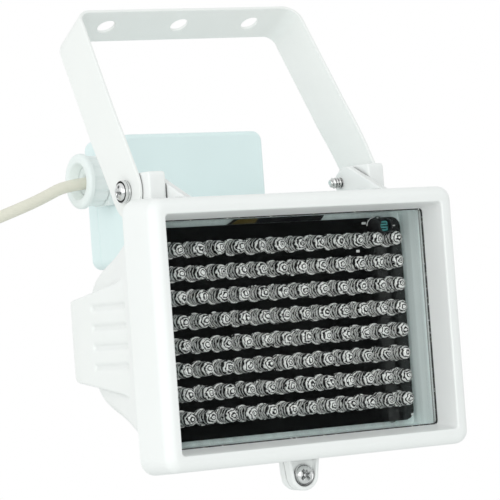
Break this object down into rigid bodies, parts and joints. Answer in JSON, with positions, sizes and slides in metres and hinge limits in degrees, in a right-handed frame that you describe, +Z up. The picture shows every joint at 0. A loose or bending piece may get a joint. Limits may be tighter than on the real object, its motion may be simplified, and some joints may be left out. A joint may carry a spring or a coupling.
{
  "type": "infrared illuminator",
  "caption": "Box-shaped infrared floodlight: a board of clear emitters behind glass in a hinged white cast frame, on a tapered housing with a U bracket, a rear terminal box and a cable gland.",
  "frame": {"origin": "middle fixing hole of the bracket, on the outer face that is screwed to a wall or ceiling", "axes": "+Z up with the window upright, +Y from the window to the back, +X to the right seen from the front"},
  "size_m": [0.1744, 0.1204, 0.1728],
  "materials": {
    "white_casting": "warm white powder coat, fine and slightly uneven, half gloss",
    "white_strip": "white powder coat on flat steel, half gloss",
    "front_glass": "clear toughened glass with ground edges",
    "clear_silicone": "translucent silicone",
    "grey_rubber": "dull grey rubber",
    "pale_rubber": "pale soft rubber",
    "bright_sheet": "bright rolled sheet, drawn upwards in fine lines",
    "black_board": "black solder mask, glossy",
    "foam_tape": "dark foam tape",
    "clear_epoxy": "water-clear cast epoxy",
    "cell_face": "teal cell under clear lacquer",
    "black_sleeve": "black moulded sleeve",
    "resistor_body": "tan lacquer",
    "module_body": "dark moulded case",
    "box_plastic": "very pale green-white moulded plastic, satin",
    "gland_plastic": "pale moulded nylon, satin",
    "block_plastic": "natural nylon",
    "zinc_steel": "bright zinc plate, turned",
    "washer_fibre": "light grey sealing washer",
    "cream_sheath": "cream flexible sheath, smooth and dull",
    "core_sheath": "red and black insulated cores",
    "lead_sheath": "black insulated leads",
    "tie_plastic": "black plastic strap",
    "plug_plastic": "moulded on, cream, dull",
    "contact_metal": "nickel-plated sleeve",
    "contact_insulator": "black insulator"
  },
  "bodies": {
    "bracket": {"bracket": "white_strip", "pivot_screws": "zinc_steel", "pivot_washers": "zinc_steel"},
    "housing": {"board_leads": "lead_sheath", "board_tape": "foam_tape", "box_cover": "box_plastic", "box_screws": "zinc_steel", "cable_coil": "cream_sheath", "cable_cores": "core_sheath", "cable_tie": "tie_plastic", "clamp_screws": "zinc_steel", "cover_screws": "zinc_steel", "cover_seal": "pale_rubber", "frame_seal": "grey_rubber", "gland_body": "gland_plastic", "gland_lock_nut": "gland_plastic", "gland_nut": "gland_plastic", "gland_seal": "pale_rubber", "gland_washer": "washer_fibre", "housing": "white_casting", "led_board": "black_board", "led_row_1": "clear_epoxy", "led_row_2": "clear_epoxy", "led_row_3": "clear_epoxy", "led_row_4": "clear_epoxy", "led_row_5": "clear_epoxy", "led_row_6": "clear_epoxy", "led_row_7": "clear_epoxy", "led_row_8": "clear_epoxy", "photocell": "cell_face", "photocell_sleeve": "black_sleeve", "plug_contact": "contact_metal", "plug_insulator": "contact_insulator", "power_cable": "cream_sheath", "power_plug": "plug_plastic", "reflector_tray": "bright_sheet", "series_resistors": "resistor_body", "switch_module": "module_body", "terminal_block": "block_plastic", "terminal_box": "box_plastic", "tray_screws": "zinc_steel", "wall_grommet": "grey_rubber"},
    "front_frame": {"front_frame": "white_casting", "front_glass": "front_glass", "glass_gasket": "clear_silicone", "frame_screw": "zinc_steel"}
  },
  "joints": [
    {"name": "bracket_tilt", "type": "hinge", "parent": "bracket", "child": "housing", "pos_m": [0, -0.0365, -0.06322], "axis": [1, 0, 0], "range_deg": [-38, 32]},
    {"name": "frame_hinge", "type": "hinge", "parent": "housing", "child": "front_frame", "pos_m": [0, -0.0365, -0.06322], "axis": [1, 0, 0], "range_deg": [-55, 0]}
  ]
}
